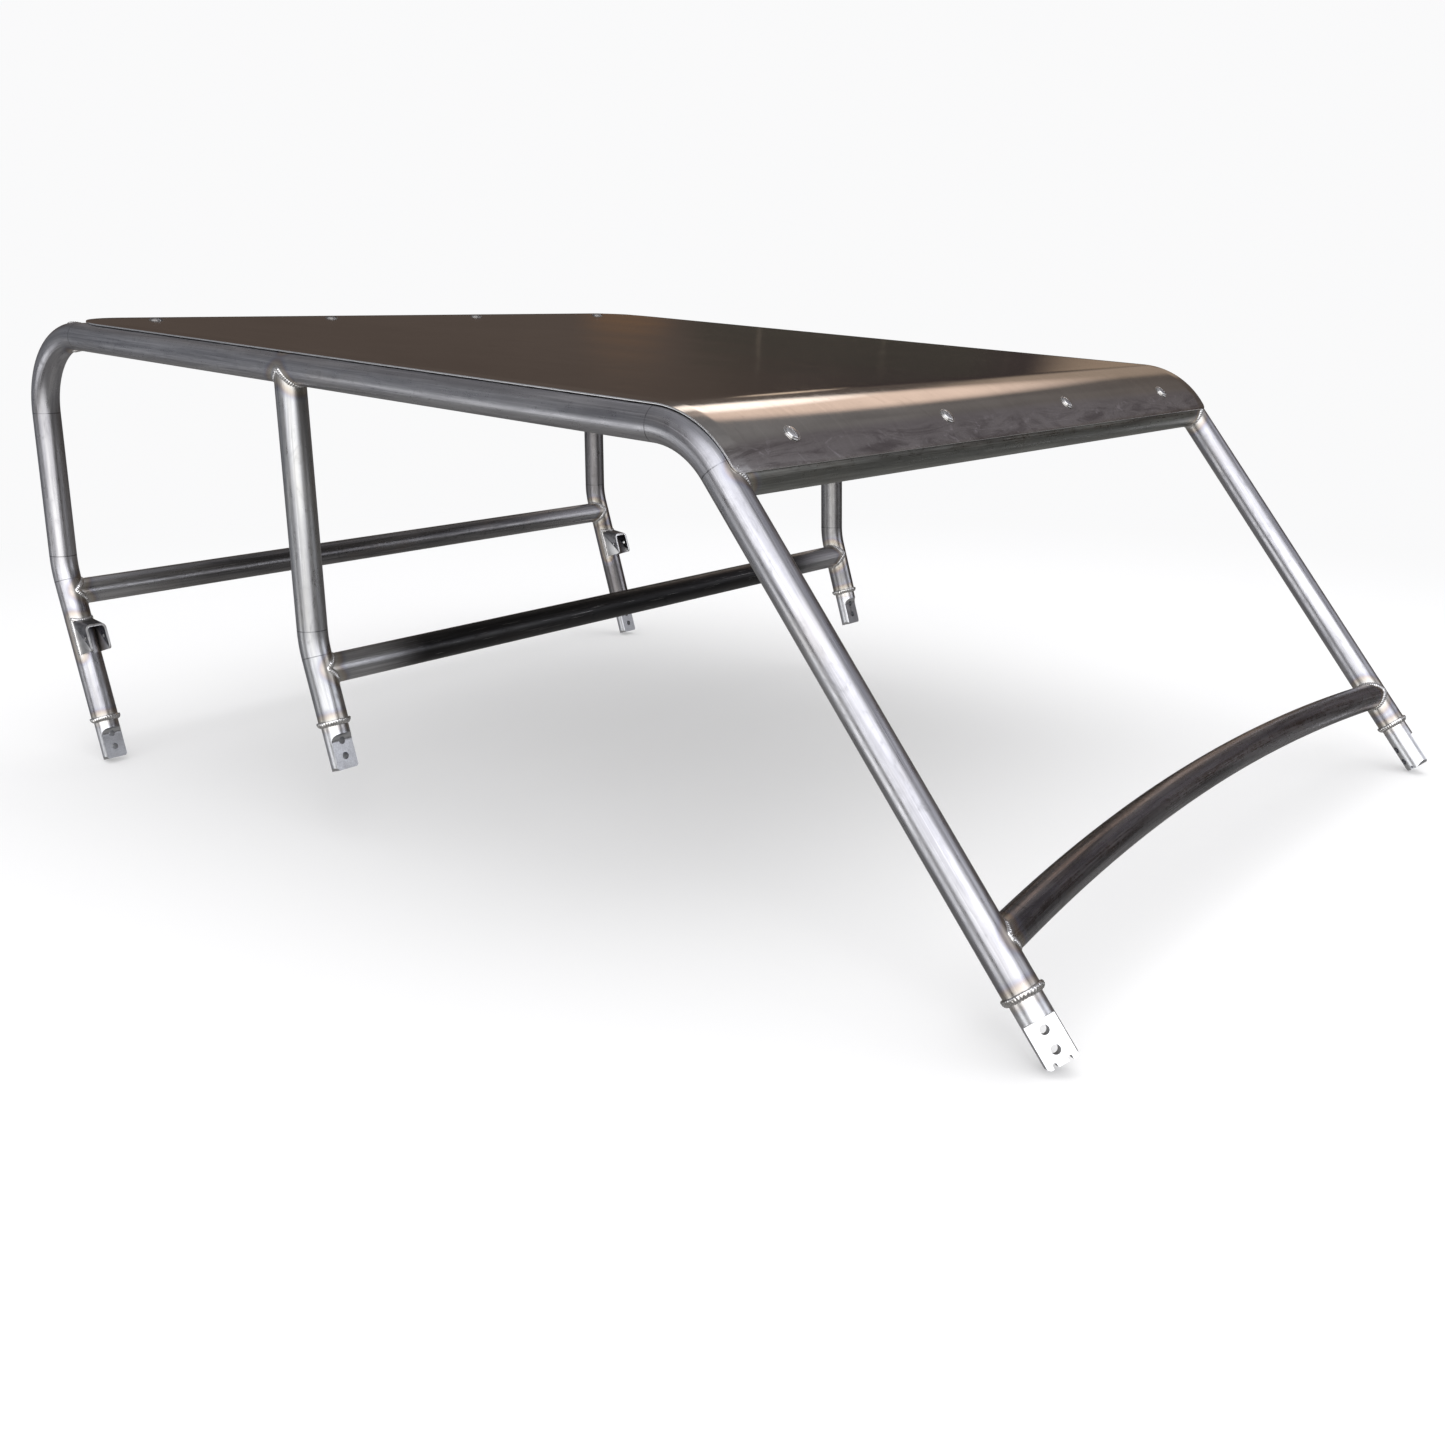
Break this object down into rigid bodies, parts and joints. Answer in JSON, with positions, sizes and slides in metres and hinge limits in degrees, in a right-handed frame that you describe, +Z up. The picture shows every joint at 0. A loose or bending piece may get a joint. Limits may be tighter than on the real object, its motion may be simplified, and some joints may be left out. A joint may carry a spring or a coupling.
{
  "type": "bolt-in roll cage with sheet roof",
  "caption": "Bolt-in tubular roll cage for a side-by-side off-road vehicle, with a bent sheet roof on quarter-turn fasteners, cross bars and drilled weld-in feet.",
  "frame": {"origin": "on the floor plane through the lowest points of the rear and front feet, on the centre plane, midway along the length", "axes": "+X forward (the way the vehicle drives), +Y to the vehicle's left, +Z up"},
  "size_m": [1.9498, 1.3944, 0.7527],
  "materials": {
    "tube_steel": "bare mill-finish steel tube with drawn streaks and light scratches",
    "dark_tube_steel": "bare steel tube with dark mill scale",
    "machined_steel": "bright machined steel",
    "bracket_steel": "bare bent plate with bright cut edges",
    "fastener_steel": "bright plated steel",
    "spring_wire": "bright spring wire",
    "rivet_aluminium": "plain",
    "roof_sheet": "glossy mill-finish sheet that mirrors a dark warm surrounding"
  },
  "bodies": {
    "root": {"right_side_hoop": "tube_steel", "left_side_hoop": "tube_steel", "right_middle_pillar": "tube_steel", "left_middle_pillar": "tube_steel", "rear_header_tube": "tube_steel", "middle_roof_tube": "tube_steel", "rear_cross_bar": "dark_tube_steel", "harness_bar": "dark_tube_steel", "front_header_tube": "dark_tube_steel", "windshield_arch_bar": "dark_tube_steel", "right_rear_foot": "machined_steel", "right_middle_foot": "machined_steel", "right_front_foot": "machined_steel", "left_rear_foot": "machined_steel", "left_middle_foot": "machined_steel", "left_front_foot": "machined_steel", "right_leg_bracket": "bracket_steel", "left_leg_bracket": "bracket_steel", "roof_panel": "roof_sheet", "front_stud_washers": "fastener_steel", "front_stud_retainers": "fastener_steel", "front_receptacle_springs": "spring_wire", "front_spring_rivets": "rivet_aluminium", "front_fastener_tabs": "bracket_steel", "rear_stud_washers": "fastener_steel", "rear_stud_retainers": "fastener_steel", "rear_receptacle_springs": "spring_wire", "rear_spring_rivets": "rivet_aluminium", "rear_fastener_tabs": "bracket_steel"},
    "front_stud_1": {"front_stud_1": "fastener_steel"},
    "front_stud_2": {"front_stud_2": "fastener_steel"},
    "front_stud_3": {"front_stud_3": "fastener_steel"},
    "front_stud_4": {"front_stud_4": "fastener_steel"},
    "rear_stud_1": {"rear_stud_1": "fastener_steel"},
    "rear_stud_2": {"rear_stud_2": "fastener_steel"},
    "rear_stud_3": {"rear_stud_3": "fastener_steel"},
    "rear_stud_4": {"rear_stud_4": "fastener_steel"}
  },
  "joints": [
    {"name": "front_stud_1_turn", "type": "hinge", "parent": "root", "child": "front_stud_1", "pos_m": [0.50688, -0.5415, 0.62877], "axis": [0.6805, 0, 0.7327], "range_deg": [0, 90]},
    {"name": "front_stud_2_turn", "type": "hinge", "parent": "root", "child": "front_stud_2", "pos_m": [0.50688, -0.1805, 0.62877], "axis": [0.6805, 0, 0.7327], "range_deg": [0, 90]},
    {"name": "front_stud_3_turn", "type": "hinge", "parent": "root", "child": "front_stud_3", "pos_m": [0.50688, 0.1805, 0.62877], "axis": [0.6805, 0, 0.7327], "range_deg": [0, 90]},
    {"name": "front_stud_4_turn", "type": "hinge", "parent": "root", "child": "front_stud_4", "pos_m": [0.50688, 0.5415, 0.62877], "axis": [0.6805, 0, 0.7327], "range_deg": [0, 90]},
    {"name": "rear_stud_1_turn", "type": "hinge", "parent": "root", "child": "rear_stud_1", "pos_m": [-0.80905, -0.5415, 0.74869], "axis": [0.0649, 0, 0.9979], "range_deg": [0, 90]},
    {"name": "rear_stud_2_turn", "type": "hinge", "parent": "root", "child": "rear_stud_2", "pos_m": [-0.80905, -0.1805, 0.74869], "axis": [0.0649, 0, 0.9979], "range_deg": [0, 90]},
    {"name": "rear_stud_3_turn", "type": "hinge", "parent": "root", "child": "rear_stud_3", "pos_m": [-0.80905, 0.1805, 0.74869], "axis": [0.0649, 0, 0.9979], "range_deg": [0, 90]},
    {"name": "rear_stud_4_turn", "type": "hinge", "parent": "root", "child": "rear_stud_4", "pos_m": [-0.80905, 0.5415, 0.74869], "axis": [0.0649, 0, 0.9979], "range_deg": [0, 90]}
  ]
}
